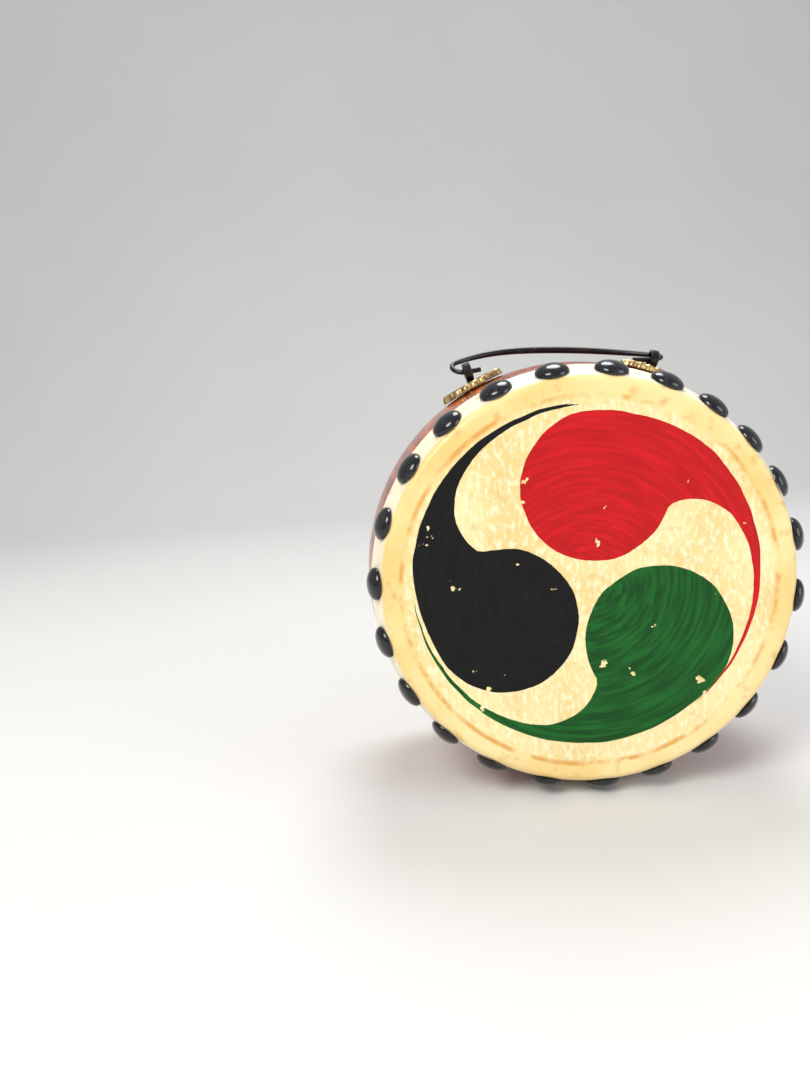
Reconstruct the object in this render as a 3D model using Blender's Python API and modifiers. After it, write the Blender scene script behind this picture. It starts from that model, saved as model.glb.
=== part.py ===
"""Small nailed barrel drum with two rawhide heads and an iron bail handle.

Metres, +Z up.  The drum stands on the belly of its barrel, the front head
faces -Y and the bail is on top.  The origin is under the middle of the drum.
"""
import math

import bmesh
import bpy
from mathutils import Matrix, Vector

MM = 0.001

# ---- driving dimensions (millimetres and degrees) -------------------------
DEPTH = 100.0            # over both heads
BELLY_R = 97.3           # wood, at mid depth
BARREL_ARC = 133.9       # radius of the barrel's curve from front to back
RIM_FILLET = 3.0         # rounded bearing edge of the wood
MOUTH_R = 79.0           # opening of the wood at each end
CAVITY_R = 84.0          # hollow at mid depth
SKIN_T = 0.9             # rawhide
GAP = 0.25               # clearance between neighbouring solids
SKIN_EDGE_Y = 32.2       # cut edge of each skin, from mid depth
STEPS = 72               # facets round the drum

NAIL_COUNT = 23
NAIL_ROW_Y = 42.6        # nail row, from mid depth
NAIL_FIRST = -9.49       # degrees from the top, first nail of the row
# the nails were set by hand, so the pitch wanders: amplitude, phase in degrees
NAIL_WANDER = ((2.37, -43.0), (1.38, -20.0), (0.64, 72.0), (0.75, 162.0))
NAIL_R = 7.5
NAIL_H = 4.2
SHANK_R = 0.95
SHANK_L = 9.5
SHANK_HOLE_R = 1.35

EYE_ANGLE = 24.5         # eye centres, degrees from the top
EYE_R = 105.0            # eye centres, from the drum's axis
PIN_LEAN = 15.0          # the pins lean outward by this much
EYE_OUT_R = 4.4
EYE_STRIP = 1.2
PIN_WIDTH = 3.6
LEG_SLIT = 0.3
LEG_CLINCH = 6.0
PIN_HOLE_R = 2.75

PLATE_R = 15.0
PLATE_H = 3.4
PLATE_T = 0.6
FLUTES = 20

BAIL_LEAN = 67.2         # bail at rest, degrees back from upright
BAIL_TWIST = 8.2         # right end further back, left end less
BAIL_SHIFT = -0.9        # the bail has slid a little to the left
BAIL_END = 47.2          # where the bar runs into its curls
BAIL_SPAN = 48.9
BAIL_FOOT = 9.0
BAIL_RISE = 14.0
BAIL_POWER = 2.37
CURL_R = 5.44
TAIL_SLOPE = 15.0
TAIL_LEFT = 7.0
TAIL_RIGHT = 8.0
WIRE_END_R = 1.25
WIRE_MID_R = 1.7

CENTRE = Vector((0.0, 0.0, BELLY_R * math.cos(math.pi / STEPS) * MM))


# ---- scene ----------------------------------------------------------------
for old in list(bpy.data.objects):
    bpy.data.objects.remove(old, do_unlink=True)
for old in list(bpy.data.collections):
    bpy.data.collections.remove(old)

parts = bpy.data.collections.new("taiko_drum")
cutters = bpy.data.collections.new("cutters")
bpy.context.scene.collection.children.link(parts)
bpy.context.scene.collection.children.link(cutters)


def finish(name, rgb, rough, metal):
    mat = bpy.data.materials.new(name)
    mat.use_nodes = True
    node = mat.node_tree.nodes["Principled BSDF"]
    node.inputs["Base Color"].default_value = (*rgb, 1.0)
    node.inputs["Roughness"].default_value = rough
    node.inputs["Metallic"].default_value = metal
    mat.diffuse_color = (*rgb, 1.0)
    return mat


def put(obj, coll=None):
    (coll or parts).objects.link(obj)
    return obj


def smooth(mesh, angle=35.0):
    mesh.shade_smooth()
    mesh.set_sharp_from_angle(angle=math.radians(angle))


# ---- the barrel's curve, and the same curve moved outward by off ----------
def side_radius(y, off=0.0):
    arc = BARREL_ARC + off
    return BELLY_R - BARREL_ARC + math.sqrt(arc * arc - y * y)


def side_slope(y):
    return math.asin(abs(y) / BARREL_ARC)


WOOD_END_Y = DEPTH / 2 - SKIN_T - GAP
FILLET_Y = WOOD_END_Y - RIM_FILLET
FILLET_C_R = BELLY_R - BARREL_ARC + math.sqrt(
    (BARREL_ARC - RIM_FILLET) ** 2 - FILLET_Y ** 2)
FILLET_A = math.asin(FILLET_Y / (BARREL_ARC - RIM_FILLET))


def fillet(off, count):
    """Points (r, y) round the bearing edge, from the face to the side."""
    rad = RIM_FILLET + off
    out = []
    for i in range(count + 1):
        a = math.pi / 2 + (FILLET_A - math.pi / 2) * i / count
        out.append((FILLET_C_R + rad * math.cos(a), FILLET_Y + rad * math.sin(a)))
    return out


def side(off, y0, y1, count):
    return [(side_radius(y0 + (y1 - y0) * i / count, off), y0 + (y1 - y0) * i / count)
            for i in range(count + 1)]


def side_start(off):
    return (BARREL_ARC + off) * math.sin(FILLET_A)


def turned(name, outline, closed, mat, steps, coll=None):
    """Spin an outline of (radius, height) points round local Z."""
    mesh = bpy.data.meshes.new(name)
    bm = bmesh.new()
    verts = [bm.verts.new((r * MM, 0.0, z * MM)) for r, z in outline]
    for a, b in zip(verts, verts[1:]):
        bm.edges.new((a, b))
    if closed:
        bm.edges.new((verts[-1], verts[0]))
    bm.to_mesh(mesh)
    bm.free()
    obj = put(bpy.data.objects.new(name, mesh), coll)
    mesh.materials.append(mat)
    mod = obj.modifiers.new("turn", "SCREW")
    mod.axis = "Z"
    mod.angle = 2 * math.pi
    mod.steps = steps
    mod.render_steps = steps
    mod.use_merge_vertices = True
    mod.merge_threshold = 0.00001
    mod.use_smooth_shade = True
    return obj


HALF_STEP = Matrix.Rotation(math.pi / STEPS, 4, "Z")
FRONT = Matrix.Translation(CENTRE) @ Matrix.Rotation(math.pi / 2, 4, "X") @ HALF_STEP
BACK = Matrix.Translation(CENTRE) @ Matrix.Rotation(-math.pi / 2, 4, "X") @ HALF_STEP

lacquer = finish("lacquered_wood", (0.36, 0.085, 0.02), 0.28, 0.0)
hide = finish("rawhide", (0.80, 0.62, 0.28), 0.55, 0.0)
iron = finish("black_iron", (0.012, 0.012, 0.013), 0.28, 0.6)
nail_black = finish("black_nail", (0.008, 0.008, 0.010), 0.15, 0.3)
brass = finish("pressed_brass", (0.55, 0.38, 0.13), 0.42, 1.0)

# ---- barrel body ----------------------------------------------------------
outer = fillet(0.0, 2) + side(0.0, side_start(0.0), -side_start(0.0), 9)[1:-1]
outer += [(r, -y) for r, y in reversed(fillet(0.0, 2))]
cavity = []
for i in range(7):
    t = -1 + 2 * i / 6
    cavity.append((CAVITY_R - (CAVITY_R - MOUTH_R) * t * t, t * (WOOD_END_Y - 1.0)))
mouth_low = (MOUTH_R + 0.6, -WOOD_END_Y)
mouth_high = (MOUTH_R + 0.6, WOOD_END_Y)
body = turned("drum_body", outer + [mouth_low] + cavity + [mouth_high], True,
              lacquer, STEPS)
body.matrix_world = FRONT


# ---- rawhide heads --------------------------------------------------------
def skin_outline():
    out = [(0.0, DEPTH / 2)] + fillet(GAP + SKIN_T, 3)
    out += side(GAP + SKIN_T, side_start(GAP + SKIN_T), SKIN_EDGE_Y, 3)[1:]
    back = side(GAP, side_start(GAP), SKIN_EDGE_Y, 3)[1:]
    out += list(reversed(back)) + list(reversed(fillet(GAP, 3)))
    out.append((0.0, DEPTH / 2 - SKIN_T))
    return out


front_skin = turned("front_skin", skin_outline(), False, hide, STEPS)
front_skin.matrix_world = FRONT
back_skin = turned("back_skin", skin_outline(), False, hide, STEPS)
back_skin.matrix_world = BACK


# ---- nails ----------------------------------------------------------------
def nail_angle(i):
    t = 2 * math.pi * i / NAIL_COUNT
    deg = NAIL_FIRST + 360.0 * i / NAIL_COUNT
    for k, (amp, phase) in enumerate(NAIL_WANDER):
        deg += amp * math.cos((k + 1) * t - math.radians(phase))
    return math.radians(deg)


def nail_frame(theta, sign):
    """Local Z along the nail, pointing out of the drum."""
    y = NAIL_ROW_Y
    a = side_slope(y)
    r = side_radius(y, GAP + SKIN_T)
    radial = Vector((math.sin(theta), 0.0, math.cos(theta)))
    axis = radial * math.cos(a) + Vector((0.0, sign * math.sin(a), 0.0))
    base = CENTRE + (radial * r + Vector((0.0, sign * y, 0.0)) + axis * 0.12) * MM
    across = Vector((math.cos(theta), 0.0, -math.sin(theta)))
    third = axis.cross(across)
    m = Matrix((across, third, axis)).transposed().to_4x4()
    m.translation = base
    return m


def nail_outline():
    out = []
    for i in range(4):
        a = math.radians(90 - 30 * i)
        out.append((NAIL_R * math.cos(a), NAIL_H * math.sin(a)))
    out[0] = (0.0, NAIL_H)
    out[-1] = (NAIL_R, 0.25)
    out += [(NAIL_R - 0.2, 0.0), (SHANK_R, 0.0),
            (SHANK_R * 0.8, -SHANK_L * 0.7), (0.0, -SHANK_L)]
    return out


shank_holes = {}
for sign, row in ((-1, "front"), (1, "back")):
    hole_mesh = bpy.data.meshes.new(row + "_nail_holes")
    bm = bmesh.new()
    for i in range(NAIL_COUNT):
        m = nail_frame(nail_angle(i), sign)
        nail = turned("%s_nail_%02d" % (row, i + 1), nail_outline(), False, nail_black, 12)
        nail.matrix_world = m
        low = -SHANK_L - 0.8
        high = 2.0
        bmesh.ops.create_cone(bm, cap_ends=True, segments=6, radius1=SHANK_HOLE_R * MM,
                              radius2=SHANK_HOLE_R * MM, depth=(high - low) * MM,
                              matrix=m @ Matrix.Translation((0, 0, (high + low) / 2 * MM)))
    bm.to_mesh(hole_mesh)
    bm.free()
    cutter = put(bpy.data.objects.new(row + "_nail_holes", hole_mesh), cutters)
    shank_holes[row] = cutter


# ---- brass plates, pins ---------------------------------------------------
def pin_axis(sx):
    a = math.radians(PIN_LEAN)
    return Vector((sx * math.sin(a), 0.0, math.cos(a)))


def eye_centre(sx):
    a = math.radians(EYE_ANGLE)
    return Vector((sx * EYE_R * math.sin(a), 0.0, EYE_R * math.cos(a)))


def wall_point(sx, radius):
    """Where the pin's axis crosses the cylinder of the given radius."""
    e, d = eye_centre(sx), pin_axis(sx)
    b = e.dot(d)
    t = b - math.sqrt(b * b - (e.length_squared - radius * radius))
    return e - d * t, t


def plate(name, sx):
    foot, _ = wall_point(sx, BELLY_R)
    theta = math.atan2(foot.x, foot.z)
    mesh = bpy.data.meshes.new(name)
    bm = bmesh.new()
    bmesh.ops.create_cone(bm, cap_ends=False, segments=2 * FLUTES, radius1=1.0,
                          radius2=0.0001, depth=1.0)
    up = [e for e in bm.edges if abs(e.verts[0].co.z - e.verts[1].co.z) > 0.5]
    bmesh.ops.subdivide_edges(bm, edges=up, cuts=3, use_grid_fill=True)
    # rings, from the outer edge to the hole: radius, height, depth of fluting
    rings = ((PLATE_R, 0.45, 0.65), (14.0, 3.3, 0.55), (11.6, PLATE_H - PLATE_T, 0.0),
             (6.0, PLATE_H - 0.9, 0.0), (PIN_HOLE_R + 0.1, PLATE_H - 1.1, 0.0))
    for v in bm.verts:
        k = min(4, max(0, int(round((v.co.z + 0.5) * 4))))
        a = math.atan2(v.co.y, v.co.x)
        r, h, wave = rings[k]
        r += wave * math.cos(FLUTES * a) - wave
        across, along = r * math.cos(a), r * math.sin(a)
        phi = theta + across / BELLY_R
        rad = side_radius(along) + GAP + h
        v.co = CENTRE + Vector((rad * math.sin(phi), along, rad * math.cos(phi))) * MM
    bmesh.ops.recalc_face_normals(bm, faces=bm.faces)
    out = Vector((math.sin(theta), 0.0, math.cos(theta)))
    total = Vector((0.0, 0.0, 0.0))
    bm.normal_update()
    for f in bm.faces:
        total += f.normal * f.calc_area()
    if total.dot(out) < 0:
        bmesh.ops.reverse_faces(bm, faces=bm.faces)
    bm.to_mesh(mesh)
    bm.free()
    obj = put(bpy.data.objects.new(name, mesh))
    mesh.materials.append(brass)
    mod = obj.modifiers.new("sheet", "SOLIDIFY")
    mod.thickness = PLATE_T * MM
    mod.offset = 1.0
    mod.use_even_offset = True
    smooth(mesh, 50)
    return obj


def pin(name, sx):
    """Split pin: one flat outline, with its eye, two legs and clinched tips."""
    _, t_in = wall_point(sx, CAVITY_R - 0.9)
    rc, half = EYE_OUT_R, LEG_SLIT / 2
    leg = EYE_STRIP + half
    pts = []
    a0 = math.asin(leg / rc)
    for i in range(17):
        a = -math.pi / 2 - a0 - (2 * math.pi - 2 * a0) * i / 16
        pts.append((rc * math.cos(a), rc * math.sin(a)))
    down = -t_in
    pts += [(leg, down), (leg + LEG_CLINCH, down - 0.6),
            (leg + LEG_CLINCH, down - 0.6 - EYE_STRIP), (half, down - EYE_STRIP)]
    ri = EYE_OUT_R - EYE_STRIP
    a1 = math.asin(half / ri)
    for i in range(17):
        a = -math.pi / 2 + a1 + (2 * math.pi - 2 * a1) * i / 16
        pts.append((ri * math.cos(a), ri * math.sin(a)))
    pts += [(-half, down - EYE_STRIP), (-leg - LEG_CLINCH, down - 0.6 - EYE_STRIP),
            (-leg - LEG_CLINCH, down - 0.6), (-leg, down)]
    curve = bpy.data.curves.new(name, "CURVE")
    curve.dimensions = "2D"
    curve.fill_mode = "BOTH"
    curve.extrude = PIN_WIDTH / 2 * MM
    sp = curve.splines.new("POLY")
    sp.points.add(len(pts) - 1)
    for p, (x, y) in zip(sp.points, pts):
        p.co = (x * MM, y * MM, 0.0, 1.0)
    sp.use_cyclic_u = True
    flat = bpy.data.objects.new(name + "_outline", curve)
    cutters.objects.link(flat)
    mesh = bpy.data.meshes.new_from_object(
        flat.evaluated_get(bpy.context.evaluated_depsgraph_get()))
    bpy.data.objects.remove(flat, do_unlink=True)
    bm = bmesh.new()
    bm.from_mesh(mesh)
    bmesh.ops.remove_doubles(bm, verts=bm.verts, dist=0.000001)
    bm.to_mesh(mesh)
    bm.free()
    mesh.name = name
    mesh.materials.clear()
    mesh.materials.append(iron)
    obj = put(bpy.data.objects.new(name, mesh))
    d = pin_axis(sx)
    width = Vector((0.0, 1.0, 0.0))
    third = width.cross(d)
    m = Matrix((width, d, third)).transposed().to_4x4()
    m.translation = CENTRE + eye_centre(sx) * MM
    obj.matrix_world = m
    return obj


hole_mesh = bpy.data.meshes.new("pin_holes")
bm = bmesh.new()
for sx in (-1, 1):
    e, d = CENTRE + eye_centre(sx) * MM, pin_axis(sx)
    across = Vector((0.0, 1.0, 0.0))
    m = Matrix((across, d.cross(across), d)).transposed().to_4x4()
    m.translation = e - d * 17.0 * MM
    bmesh.ops.create_cone(bm, cap_ends=True, segments=12, radius1=PIN_HOLE_R * MM,
                          radius2=PIN_HOLE_R * MM, depth=22.0 * MM, matrix=m)
bm.to_mesh(hole_mesh)
bm.free()
pin_holes = put(bpy.data.objects.new("pin_holes", hole_mesh), cutters)

plate("left_plate", -1)
plate("right_plate", 1)
pin("left_eye_pin", -1)
pin("right_eye_pin", 1)


def drill(obj, cutter):
    mod = obj.modifiers.new(cutter.name, "BOOLEAN")
    mod.operation = "DIFFERENCE"
    mod.solver = "EXACT"
    mod.object = cutter


drill(body, shank_holes["front"])
drill(body, shank_holes["back"])
drill(body, pin_holes)
drill(front_skin, shank_holes["front"])
drill(back_skin, shank_holes["back"])
for cut in cutters.objects:
    cut.hide_render = True
    cut.display_type = "WIRE"


# ---- bail handle ----------------------------------------------------------
HINGE_X = EYE_R * math.sin(math.radians(EYE_ANGLE))
HINGE_Z = EYE_R * math.cos(math.radians(EYE_ANGLE))


def bar_height(u):
    return BAIL_FOOT + BAIL_RISE * (1 - abs(u / BAIL_SPAN) ** BAIL_POWER)


def bail_half(tail):
    """Points (u, v, wire radius) from the middle of the bar to one inner tip."""
    out = []
    for i in range(15):
        u = BAIL_END * math.sin(math.pi / 2 * i / 14)
        k = 1 - (u / BAIL_END) ** 2
        out.append((u, bar_height(u), WIRE_END_R + (WIRE_MID_R - WIRE_END_R) * k))
    u, v = BAIL_END, bar_height(BAIL_END)
    slope = (bar_height(BAIL_END) - bar_height(BAIL_END - 0.01)) / 0.01
    h0 = math.atan(slope)
    h1 = -math.pi - math.radians(TAIL_SLOPE)
    cu, cv = u + CURL_R * math.sin(h0), v - CURL_R * math.cos(h0)
    for i in range(1, 11):
        h = h0 + (h1 - h0) * i / 10
        out.append((cu - CURL_R * math.sin(h), cv + CURL_R * math.cos(h), WIRE_END_R))
    u, v, _ = out[-1]
    rest = (u - HINGE_X) + tail
    for i in (1, 2):
        s = rest * i / 2
        out.append((u - s, v + s * math.tan(math.radians(TAIL_SLOPE)), WIRE_END_R))
    return out


path = [(-u, v, r) for u, v, r in reversed(bail_half(TAIL_LEFT))]
path += bail_half(TAIL_RIGHT)[1:]
curve = bpy.data.curves.new("bail_handle", "CURVE")
curve.dimensions = "3D"
curve.bevel_depth = MM
curve.bevel_resolution = 2
curve.use_fill_caps = True
sp = curve.splines.new("POLY")
sp.points.add(len(path) - 1)
for p, (u, v, r) in zip(sp.points, path):
    lean = math.radians(BAIL_LEAN + BAIL_TWIST * u / BAIL_SPAN)
    p.co = ((u + BAIL_SHIFT) * MM, v * math.sin(lean) * MM, v * math.cos(lean) * MM, 1.0)
    p.radius = r
curve.materials.append(iron)
bail = put(bpy.data.objects.new("bail_handle", curve))
bail.location = CENTRE + Vector((0.0, 0.0, HINGE_Z)) * MM

bpy.context.view_layer.update()
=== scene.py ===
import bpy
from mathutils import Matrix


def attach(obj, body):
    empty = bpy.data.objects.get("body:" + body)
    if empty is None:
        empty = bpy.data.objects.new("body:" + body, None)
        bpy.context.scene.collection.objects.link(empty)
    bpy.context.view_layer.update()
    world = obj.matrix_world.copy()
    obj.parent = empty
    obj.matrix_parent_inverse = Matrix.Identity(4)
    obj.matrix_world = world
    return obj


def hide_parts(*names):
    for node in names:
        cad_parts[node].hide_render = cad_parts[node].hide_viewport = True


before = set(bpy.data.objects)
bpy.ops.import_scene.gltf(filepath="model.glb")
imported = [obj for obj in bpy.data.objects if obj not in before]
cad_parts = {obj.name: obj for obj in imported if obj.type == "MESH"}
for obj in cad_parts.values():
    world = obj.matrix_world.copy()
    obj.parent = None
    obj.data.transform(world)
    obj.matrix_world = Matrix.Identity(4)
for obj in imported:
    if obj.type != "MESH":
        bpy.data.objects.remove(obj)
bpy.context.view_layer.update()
import math

import bmesh
import bpy
from mathutils import Matrix, Vector, noise

MM = 0.001

# the same sizes as the CAD part, in millimetres
DEPTH, BELLY_R, ARC, RIM = 100.0, 97.3, 133.9, 3.0
MOUTH_R, CAVITY_R, SKIN_T, GAP, SKIN_EDGE_Y = 79.0, 84.0, 0.9, 0.25, 32.2
NAILS, NAIL_Y, NAIL_FIRST = 23, 42.6, -9.49
WANDER = ((2.37, -43.0), (1.38, -20.0), (0.64, 72.0), (0.75, 162.0))
EYE_ANGLE, EYE_R, PIN_LEAN = 24.5, 105.0, 15.0
TRUE = math.cos(math.pi / 72)          # the CAD's facets lie this far inside its circle
CENTRE = Vector((0.0, 0.0, BELLY_R * TRUE * MM))


# ---- materials ------------------------------------------------------------
class Look:
    def __init__(self, name):
        self.mat = bpy.data.materials.new(name)
        self.mat.use_nodes = True
        self.tree = self.mat.node_tree
        self.out = self.tree.nodes["Principled BSDF"]
        self.coord = self.add("ShaderNodeTexCoord").outputs["Object"]

    def add(self, kind, **values):
        n = self.tree.nodes.new(kind)
        for k, v in values.items():
            setattr(n, k, v)
        return n

    def join(self, value, socket):
        if hasattr(value, "is_linked"):
            self.tree.links.new(value, socket)
        else:
            socket.default_value = value

    def math(self, op, a, b=0.0):
        n = self.add("ShaderNodeMath", operation=op)
        self.join(a, n.inputs[0])
        self.join(b, n.inputs[1])
        return n.outputs[0]

    def ramp(self, value, low, high):
        n = self.add("ShaderNodeMapRange", interpolation_type="SMOOTHSTEP")
        self.join(value, n.inputs["Value"])
        n.inputs["From Min"].default_value = low
        n.inputs["From Max"].default_value = high
        return n.outputs["Result"]

    def noise(self, scale, detail=6.0, stretch=(1, 1, 1), source=None):
        m = self.add("ShaderNodeMapping")
        self.join(source or self.coord, m.inputs["Vector"])
        m.inputs["Scale"].default_value = stretch
        n = self.add("ShaderNodeTexNoise")
        self.join(m.outputs[0], n.inputs["Vector"])
        n.inputs["Scale"].default_value = scale
        n.inputs["Detail"].default_value = detail
        return n.outputs[0]

    def mix(self, factor, a, b):
        n = self.add("ShaderNodeMix", data_type="RGBA")
        self.join(factor, n.inputs[0])
        self.join(a if hasattr(a, "is_linked") else (*a, 1.0), n.inputs[6])
        self.join(b if hasattr(b, "is_linked") else (*b, 1.0), n.inputs[7])
        return n.outputs[2]

    def finish(self, colour, rough, metal=0.0, bump=None, height=0.0001, coat=0.0):
        self.join(colour, self.out.inputs["Base Color"])
        self.join(rough, self.out.inputs["Roughness"])
        self.out.inputs["Metallic"].default_value = metal
        self.out.inputs["Coat Weight"].default_value = coat
        self.out.inputs["Coat Roughness"].default_value = 0.08
        if bump is not None:
            n = self.add("ShaderNodeBump")
            n.inputs["Strength"].default_value = 0.6
            n.inputs["Distance"].default_value = height
            self.join(bump, n.inputs["Height"])
            self.join(n.outputs[0], self.out.inputs["Normal"])
        return self.mat

    def polar(self):
        """Distance and angle from the drum's axis, and the distance from mid depth."""
        s = self.add("ShaderNodeSeparateXYZ")
        self.join(self.coord, s.inputs[0])
        up = self.math("SUBTRACT", s.outputs[2], CENTRE.z)
        far = self.math("SQRT", self.math("ADD", self.math("MULTIPLY", s.outputs[0], s.outputs[0]),
                                          self.math("MULTIPLY", up, up)))
        return far, self.math("ARCTAN2", s.outputs[0], up), self.math("ABSOLUTE", s.outputs[1])


def hide_colour(k):
    far, _, deep = k.polar()
    blotch = k.ramp(k.noise(28, 8), 0.3, 0.7)
    fibre = k.noise(520, 6, (1, 1, 0.5))
    face = k.mix(blotch, (0.80, 0.60, 0.24), (0.90, 0.75, 0.38))
    face = k.mix(k.math("MULTIPLY", k.ramp(fibre, 0.46, 0.66), 0.75), face, (0.95, 0.87, 0.60))
    face = k.mix(k.math("MULTIPLY", k.ramp(k.noise(210, 7), 0.54, 0.70), 0.35), face, (0.68, 0.42, 0.13))
    rim = k.mix(blotch, (0.84, 0.58, 0.20), (0.92, 0.74, 0.36))
    rim = k.mix(k.math("MULTIPLY", k.ramp(k.noise(160, 8), 0.55, 0.75), 0.6), rim, (0.66, 0.34, 0.09))
    edge = k.math("MULTIPLY", k.ramp(far, 0.0790, 0.0800), k.ramp(far, 0.0825, 0.0810))
    rim = k.mix(k.math("MULTIPLY", edge, k.ramp(k.noise(90, 6), 0.4, 0.6)), rim, (0.72, 0.36, 0.08))
    wide = k.math("ADD", far, k.math("MULTIPLY", k.noise(60, 4), 0.0025))
    face = k.mix(k.ramp(wide, 0.0795, 0.0822), face, rim)
    cream = k.mix(blotch, (0.90, 0.80, 0.58), (0.97, 0.90, 0.74))
    cream = k.mix(k.ramp(k.noise(140, 6), 0.62, 0.72), cream, (0.72, 0.48, 0.22))
    return k.mix(k.ramp(deep, 0.0492, 0.0468), face, cream), fibre, blotch


def hide_look():
    k = Look("rawhide_look")
    colour, fibre, blotch = hide_colour(k)
    return k.finish(colour, k.ramp(blotch, -1.2, 2.2), 0.0, fibre, 0.00025)


def paint_look(name, dark, light, start, bare):
    """Brushed paint: streaks that follow the tail, worn chips and a dry tail end."""
    k = Look(name)
    hide, fibre, _ = hide_colour(k)
    far, angle, _ = k.polar()
    lag = k.math("MODULO", k.math("ADD", k.math("SUBTRACT", angle, math.radians(start - 100)),
                                  4 * math.pi), 2 * math.pi)
    pair = k.add("ShaderNodeCombineXYZ")
    k.join(k.math("MULTIPLY", far, 520.0), pair.inputs[0])
    k.join(k.math("MULTIPLY", lag, 2.2), pair.inputs[1])
    streak = k.noise(1.0, 5, source=pair.outputs[0])
    colour = k.mix(k.ramp(streak, 0.35, 0.7), dark, light)
    dry = k.ramp(lag, math.radians(165), math.radians(245))
    dry = k.math("MULTIPLY", dry, bare)
    gone = k.ramp(k.math("ADD", streak, k.math("MULTIPLY", dry, 0.27)), 0.74, 0.78)
    chip = k.ramp(k.math("ADD", k.noise(95, 7), k.math("MULTIPLY", k.noise(16, 1), 0.25)),
                  0.80, 0.815)
    gone = k.math("MAXIMUM", gone, chip)
    k.out.inputs["Specular IOR Level"].default_value = 0.25
    return k.finish(k.mix(gone, colour, hide), 0.55, 0.0, streak, 0.00005, 0.0)


def lacquer_look():
    k = Look("lacquer_look")
    grain = k.noise(16, 8, (13, 0.6, 13))
    pore = k.noise(90, 4, (8, 0.5, 8))
    colour = k.mix(k.ramp(grain, 0.3, 0.72), (0.20, 0.028, 0.004), (0.50, 0.095, 0.012))
    colour = k.mix(k.math("MULTIPLY", k.ramp(pore, 0.55, 0.75), 0.5), colour, (0.10, 0.016, 0.004))
    return k.finish(colour, k.math("ADD", 0.16, k.math("MULTIPLY", k.noise(45), 0.2)), 0.0,
                    pore, 0.00005, 0.35)


def dark_look(name, colour, worn, rough, metal, height):
    k = Look(name)
    patch = k.noise(330, 7)
    base = k.mix(k.ramp(patch, 0.52, 0.74), colour, worn)
    return k.finish(base, k.math("ADD", rough, k.math("MULTIPLY", patch, 0.16)), metal,
                    k.noise(900, 4), height, 0.3)


def brass_look():
    k = Look("brass_look")
    tarnish = k.ramp(k.noise(130, 8), 0.36, 0.66)
    colour = k.mix(tarnish, (0.62, 0.45, 0.19), (0.20, 0.13, 0.06))
    colour = k.mix(k.ramp(k.noise(420, 4), 0.60, 0.72), colour, (0.07, 0.05, 0.03))
    return k.finish(colour, k.math("ADD", 0.28, k.math("MULTIPLY", tarnish, 0.25)), 0.9,
                    k.noise(600, 5), 0.00015)


hide = hide_look()
lacquer = lacquer_look()
nail_black = dark_look("nail_look", (0.006, 0.006, 0.008), (0.030, 0.026, 0.024), 0.08, 0.25, 0.00003)
iron = dark_look("iron_look", (0.010, 0.010, 0.012), (0.075, 0.050, 0.035), 0.26, 0.7, 0.00010)
brass = brass_look()


# ---- shapes ---------------------------------------------------------------
def add(name, mesh, mat, body, slot, *nodes):
    mesh.materials.clear()
    mesh.materials.append(mat)
    obj = bpy.data.objects.new(name, mesh)
    bpy.context.scene.collection.objects.link(obj)
    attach(obj, body)
    if nodes:
        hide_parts(*nodes)
    return obj


def lathe(name, outline, closed, steps, matrix=None, scale=1.0):
    """Spin (radius, height) points round Z; a point at radius 0 is a pole."""
    bm = bmesh.new()
    rings = []
    for r, z in outline:
        if r < 1e-6:
            rings.append([bm.verts.new((0, 0, z * MM))])
        else:
            rings.append([bm.verts.new((r * scale * MM * math.cos(2 * math.pi * i / steps),
                                        r * scale * MM * math.sin(2 * math.pi * i / steps),
                                        z * MM)) for i in range(steps)])
    pairs = list(zip(rings, rings[1:])) + ([(rings[-1], rings[0])] if closed else [])
    for a, b in pairs:
        for i in range(steps):
            j = (i + 1) % steps
            quad = [a[i % len(a)], a[j % len(a)], b[j % len(b)], b[i % len(b)]]
            seen = []
            for v in quad:
                if v not in seen:
                    seen.append(v)
            if len(seen) > 2:
                bm.faces.new(seen)
    bmesh.ops.recalc_face_normals(bm, faces=bm.faces)
    mesh = bpy.data.meshes.new(name)
    bm.to_mesh(mesh)
    bm.free()
    if matrix is not None:
        mesh.transform(matrix)
    mesh.shade_smooth()
    mesh.set_sharp_from_angle(angle=math.radians(38))
    return mesh


def side_radius(y, off=0.0):
    return BELLY_R - ARC + math.sqrt((ARC + off) ** 2 - y * y)


WOOD_END_Y = DEPTH / 2 - SKIN_T - GAP
FILLET_Y = WOOD_END_Y - RIM
FILLET_C = BELLY_R - ARC + math.sqrt((ARC - RIM) ** 2 - FILLET_Y ** 2)
FILLET_A = math.asin(FILLET_Y / (ARC - RIM))


def fillet(off, count):
    out = []
    for i in range(count + 1):
        a = math.pi / 2 + (FILLET_A - math.pi / 2) * i / count
        out.append((FILLET_C + (RIM + off) * math.cos(a), FILLET_Y + (RIM + off) * math.sin(a)))
    return out


def side(off, y0, y1, count):
    ys = [y0 + (y1 - y0) * i / count for i in range(count + 1)]
    return [(side_radius(y, off), y) for y in ys]


def side_start(off):
    return (ARC + off) * math.sin(FILLET_A)


FRONT = Matrix.Translation(CENTRE) @ Matrix.Rotation(math.pi / 2, 4, "X")
BACK = Matrix.Translation(CENTRE) @ Matrix.Rotation(-math.pi / 2, 4, "X")

outer = fillet(0, 6) + side(0, side_start(0), -side_start(0), 40)[1:-1]
outer += [(r, -y) for r, y in reversed(fillet(0, 6))]
cavity = [(CAVITY_R - (CAVITY_R - MOUTH_R) * t * t, t * (WOOD_END_Y - 1.0))
          for t in [-1 + i / 8 for i in range(17)]]
outline = outer + [(MOUTH_R + 0.6, -WOOD_END_Y)] + cavity + [(MOUTH_R + 0.6, WOOD_END_Y)]
add("barrel", lathe("barrel", outline, True, 256, FRONT, TRUE * 0.9989), lacquer, "drum",
    "lacquered_wood", "drum_body")

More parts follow.
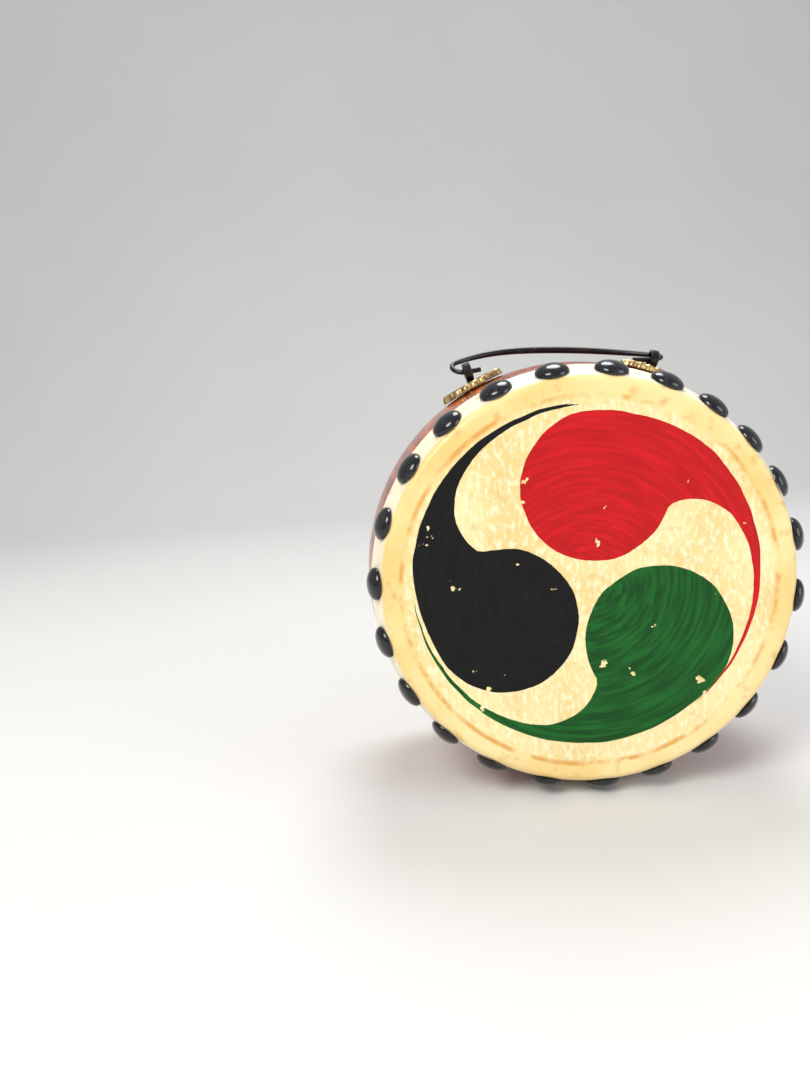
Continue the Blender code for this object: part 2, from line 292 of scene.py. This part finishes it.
FACE = DEPTH / 2 - 0.16
head = [(0.0, FACE), (30.0, FACE), (60.0, FACE), (76.5, FACE), (80.0, FACE + 0.06), (83.0, DEPTH / 2)]
head += [p for p in fillet(GAP + SKIN_T, 8) if p[0] > 83.5]
head += side(GAP + SKIN_T, side_start(GAP + SKIN_T), SKIN_EDGE_Y + 0.3, 14)[1:]
head += [(side_radius(SKIN_EDGE_Y, GAP + SKIN_T * 0.6), SKIN_EDGE_Y)]
head += list(reversed(side(GAP, side_start(GAP), SKIN_EDGE_Y, 8)[1:]))
head += list(reversed(fillet(GAP, 5))) + [(0.0, DEPTH / 2 - SKIN_T)]
for row, place in (("front", FRONT), ("back", BACK)):
    add(row + "_head", lathe(row + "_head", head, False, 256, place, TRUE), hide, "drum",
        "rawhide", row + "_skin")


# ---- nails ----------------------------------------------------------------
def nail_frame(i, sign):
    t = 2 * math.pi * i / NAILS
    deg = NAIL_FIRST + 360.0 * i / NAILS
    for k, (amp, phase) in enumerate(WANDER):
        deg += amp * math.cos((k + 1) * t - math.radians(phase))
    th, a = math.radians(deg), math.asin(NAIL_Y / ARC)
    radial = Vector((math.sin(th), 0, math.cos(th)))
    axis = radial * math.cos(a) + Vector((0, sign * math.sin(a), 0))
    base = CENTRE + (radial * side_radius(NAIL_Y, GAP + SKIN_T) + Vector((0, sign * NAIL_Y, 0))
                     + axis * 0.12) * MM
    across = Vector((math.cos(th), 0, -math.sin(th)))
    m = Matrix((across, axis.cross(across), axis)).transposed().to_4x4()
    m.translation = base
    return m


dome = [(7.36 * math.sin(math.radians(a)), 0.28 + 3.85 * math.cos(math.radians(a)))
        for a in range(0, 91, 9)]
dome += [(7.36, 0.1), (7.2, 0.0), (0.95, 0.0), (0.76, -6.6), (0.0, -9.5)]
dome_mesh = lathe("nail", dome, False, 40)
for row, sign in (("front", -1), ("back", 1)):
    for i in range(NAILS):
        name = "%s_nail_%02d" % (row, i + 1)
        press = 1.0 - 0.05 * abs(math.sin(i * 2.3 + sign))
        m = nail_frame(i, sign) @ Matrix.Diagonal((1, 1, press, 1))
        shape = dome_mesh.copy()
        shape.transform(m)
        add(row + "_dome_%02d" % (i + 1), shape, nail_black, "drum", "black_nail", name)


# ---- plates and pins ------------------------------------------------------
def plate(name, sx, node):
    a = math.radians(PIN_LEAN)
    d = Vector((sx * math.sin(a), 0, math.cos(a)))
    e = Vector((sx * EYE_R * math.sin(math.radians(EYE_ANGLE)), 0,
                EYE_R * math.cos(math.radians(EYE_ANGLE))))
    b = e.dot(d)
    foot = e - d * (b - math.sqrt(b * b - (e.length_squared - BELLY_R ** 2)))
    theta = math.atan2(foot.x, foot.z)
    rings = ((14.95, 0.4, 0.65), (14.75, 1.2, 0.64), (14.4, 2.3, 0.62), (13.95, 2.98, 0.58),
             (13.4, 3.0, 0.42), (12.8, 2.86, 0.2), (12.1, 2.7, 0.05), (11.6, 2.62, 0.0),
             (9.0, 2.5, 0.0), (6.0, 2.32, 0.0), (4.2, 2.25, 0.0), (2.85, 2.15, 0.0))
    count = 240
    verts, faces = [], []
    for r, h, wave in rings:
        for i in range(count):
            t = 2 * math.pi * i / count
            q = r + wave * math.cos(20 * t) - wave
            phi = theta + q * math.cos(t) / BELLY_R
            along = q * math.sin(t)
            rad = side_radius(along) + GAP + h
            verts.append(CENTRE + Vector((rad * math.sin(phi), along, rad * math.cos(phi))) * MM)
    for k in range(len(rings) - 1):
        for i in range(count):
            j = (i + 1) % count
            faces.append((k * count + i, k * count + j, (k + 1) * count + j, (k + 1) * count + i))
    mesh = bpy.data.meshes.new(name)
    mesh.from_pydata(verts, [], faces)
    mesh.update()
    top = mesh.polygons[9 * count]
    if top.normal.dot(Vector((math.sin(theta), 0, math.cos(theta)))) < 0:
        mesh.flip_normals()
    mesh.shade_smooth()
    obj = add(name, mesh, brass, "drum", "pressed_brass", node)
    mod = obj.modifiers.new("sheet", "SOLIDIFY")
    mod.thickness = 0.55 * MM
    mod.offset = 1.0


plate("left_escutcheon", -1, "left_plate")
plate("right_escutcheon", 1, "right_plate")

for name in ("left_eye_pin", "right_eye_pin"):
    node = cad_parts[name]
    node.data.materials.clear()
    node.data.materials.append(iron)
    weld = node.modifiers.new("weld", "WELD")
    weld.merge_threshold = 0.00001
    edge = node.modifiers.new("edge", "BEVEL")
    edge.width = 0.00025
    edge.segments = 2
    edge.angle_limit = math.radians(40)


# ---- bail -----------------------------------------------------------------
HINGE_X = EYE_R * math.sin(math.radians(EYE_ANGLE))
HINGE_Z = EYE_R * math.cos(math.radians(EYE_ANGLE))


def bar_height(u):
    return 9.0 + 14.0 * (1 - abs(u / 48.9) ** 2.37)


def bail_half(tail):
    out = []
    for i in range(41):
        u = 47.2 * math.sin(math.pi / 2 * i / 40)
        out.append((u, bar_height(u), 1.18 + 0.47 * (1 - (u / 47.2) ** 2)))
    u, v = 47.2, bar_height(47.2)
    h0 = math.atan((v - bar_height(47.19)) / 0.01)
    h1 = -math.pi - math.radians(15)
    cu, cv = u + 5.44 * math.sin(h0), v - 5.44 * math.cos(h0)
    for i in range(1, 31):
        h = h0 + (h1 - h0) * i / 30
        out.append((cu - 5.44 * math.sin(h), cv + 5.44 * math.cos(h), 1.18))
    u, v, _ = out[-1]
    rest = (u - HINGE_X) + tail
    for i in range(1, 7):
        out.append((u - rest * i / 6, v + rest * i / 6 * math.tan(math.radians(15)), 1.18))
    return out


path = [(-u, v, r) for u, v, r in reversed(bail_half(7.0))] + bail_half(8.0)[1:]
curve = bpy.data.curves.new("bail", "CURVE")
curve.dimensions = "3D"
curve.bevel_depth = MM
curve.bevel_resolution = 6
curve.use_fill_caps = True
sp = curve.splines.new("POLY")
sp.points.add(len(path) - 1)
for p, (u, v, r) in zip(sp.points, path):
    lean = math.radians(67.2 + 8.2 * u / 48.9)
    p.co = ((u - 0.9) * MM, v * math.sin(lean) * MM, (v * math.cos(lean) + HINGE_Z) * MM, 1.0)
    p.radius = r


def mesh_of(curve, name):
    """The curve's surface as a mesh of its own; the curve goes."""
    tmp = bpy.data.objects.new("outline", curve)
    bpy.context.scene.collection.objects.link(tmp)
    mesh = bpy.data.meshes.new_from_object(
        tmp.evaluated_get(bpy.context.evaluated_depsgraph_get()))
    bpy.data.objects.remove(tmp, do_unlink=True)
    mesh.name = name
    return mesh


mesh = mesh_of(curve, "bail")
mesh.transform(Matrix.Translation(CENTRE))
mesh.shade_smooth()
mesh.set_sharp_from_angle(angle=math.radians(50))
add("bail", mesh, iron, "handle", "black_iron", "bail_handle")


# ---- the three-comma pattern, painted on both heads -----------------------
def comma(head_at, far, start):
    """Outline (x, z) in mm: the tail's outer arc, back along its inner arc, round the head."""
    pts = []
    head_r = 32.0

    def polar(phi, r):
        t = math.radians(head_at + phi)
        return r * math.sin(t), r * math.cos(t)

    def outer_r(phi):
        s = min(1.0, phi / 40.0)
        first = far + head_r
        return first + (74.6 - first) * s * s * (3 - 2 * s)

    for i in range(68):
        phi = 134.0 * i / 67
        pts.append(polar(phi, outer_r(phi)))
    t0 = math.radians(head_at)
    cx, cz = far * math.sin(t0), far * math.cos(t0)
    for i in range(1, 80):
        phi = 134.0 - 104.0 * i / 79
        wide = 25.5 * math.exp(-(phi - 42) / 12) + 3.5 * max(0.0, 1 - (phi - 42) / 92) ** 0.8
        x, z = polar(phi, outer_r(phi) - wide)
        if math.hypot(x - cx, z - cz) < head_r + 0.3:
            break
        pts.append((x, z))
    notch = math.degrees(math.atan2(x - cx, z - cz) - t0) % 360.0
    for i in range(90):
        t = t0 + math.radians(notch + 1.0 + (356.0 - notch) * i / 89)
        pts.append((cx + head_r * math.sin(t), cz + head_r * math.cos(t)))
    out = []
    for x, z in pts:
        w = noise.noise_vector(Vector((x * 0.12, z * 0.12, start))) * 0.45
        w += noise.noise_vector(Vector((x * 0.6, z * 0.6, start))) * 0.16
        out.append((x - 1.2 + w.x, z + 3.5 + w.y))
    return out


INKS = (
    ("red", 8.2, 39.5, (0.45, 0.003, 0.005), (0.60, 0.005, 0.009), 0.06, 0.0),
    ("green", 132.8, 42.0, (0.002, 0.055, 0.006), (0.006, 0.120, 0.014), 0.08, 0.5),
    ("black", -115.5, 39.5, (0.001, 0.001, 0.001), (0.004, 0.004, 0.004), 0.10, 1.0),
)
for name, angle, far, dark, light, thick, bare in INKS:
    look = paint_look(name + "_paint_look", dark, light, angle, bare)
    curve = bpy.data.curves.new(name, "CURVE")
    curve.dimensions = "2D"
    curve.fill_mode = "BOTH"
    curve.extrude = thick / 2 * MM
    sp = curve.splines.new("POLY")
    outline = comma(angle, far, angle * 0.37)
    sp.points.add(len(outline) - 1)
    for p, (x, z) in zip(sp.points, outline):
        p.co = (x * MM, z * MM, 0.0, 1.0)
    sp.use_cyclic_u = True
    flat = mesh_of(curve, name)
    lift = Vector((0, -(FACE + thick / 2) * MM, 0))
    flat.transform(Matrix.Translation(CENTRE + lift) @ Matrix.Rotation(math.pi / 2, 4, "X"))
    back = flat.copy()
    back.transform(Matrix.Rotation(math.pi, 4, "Z"))
    add("front_" + name + "_paint", flat, look, "drum", "rawhide")
    add("back_" + name + "_paint", back, look, "drum", "rawhide")


# ---- stage, light, camera -------------------------------------------------
k = Look("floor_look")
tone = k.noise(3, 3)
floor_mat = k.finish(k.mix(tone, (0.70, 0.69, 0.67), (0.76, 0.75, 0.73)), 0.75, 0.0,
                     k.noise(400, 3), 0.00005)
prof = [(-2.5, 0.0), (1.0, 0.0)]
prof += [(1.0 + 0.8 * math.sin(math.radians(a)), 0.8 - 0.8 * math.cos(math.radians(a)))
         for a in range(5, 91, 5)] + [(1.8, 3.0)]
verts = [(x, y, z) for y, z in prof for x in (-4.0, 4.0)]
faces = [(2 * i, 2 * i + 1, 2 * i + 3, 2 * i + 2) for i in range(len(prof) - 1)]
mesh = bpy.data.meshes.new("floor")
mesh.from_pydata(verts, [], faces)
mesh.shade_smooth()
mesh.materials.append(floor_mat)
floor = bpy.data.objects.new("floor", mesh)
bpy.context.scene.collection.objects.link(floor)


def light(name, at, size, power, tint):
    data = bpy.data.lights.new(name, "AREA")
    data.shape = "DISK"
    data.size = size
    data.energy = power
    data.color = tint
    obj = bpy.data.objects.new(name, data)
    obj.location = at
    obj.rotation_euler = (Vector((0, 0, 0.1)) - Vector(at)).to_track_quat("-Z", "Y").to_euler()
    bpy.context.scene.collection.objects.link(obj)


light("key", (-0.7, -0.9, 1.1), 0.7, 15.0, (1.0, 0.97, 0.92))
light("fill", (1.1, -0.7, 0.5), 0.9, 6.0, (0.92, 0.96, 1.0))
light("top", (0.1, 0.5, 1.3), 0.6, 8.0, (1.0, 1.0, 1.0))

world = bpy.data.worlds.new("soft")
world.use_nodes = True
world.node_tree.nodes["Background"].inputs[0].default_value = (0.85, 0.88, 0.92, 1.0)
world.node_tree.nodes["Background"].inputs[1].default_value = 0.62
bpy.context.scene.world = world
bpy.context.scene.view_settings.view_transform = "Standard"

rv = Vector([math.radians(v) for v in (8.824, 0.781, -3.758)])
turn = Matrix.Rotation(rv.length, 3, rv.normalized())
rows = turn @ Matrix(((1, 0, 0), (0, 0, -1), (0, 1, 0)))
cam = bpy.data.cameras.new("camera")
cam.sensor_width = 36.0
cam.lens = 818.2 / 1080.0 * 36.0
cam_obj = bpy.data.objects.new("camera", cam)
pose = Matrix((rows[0], -rows[1], -rows[2])).transposed().to_4x4()
pose.translation = CENTRE + Vector((-71.07, -394.9, 78.35)) * MM
cam_obj.matrix_world = pose
bpy.context.scene.collection.objects.link(cam_obj)
bpy.context.scene.camera = cam_obj
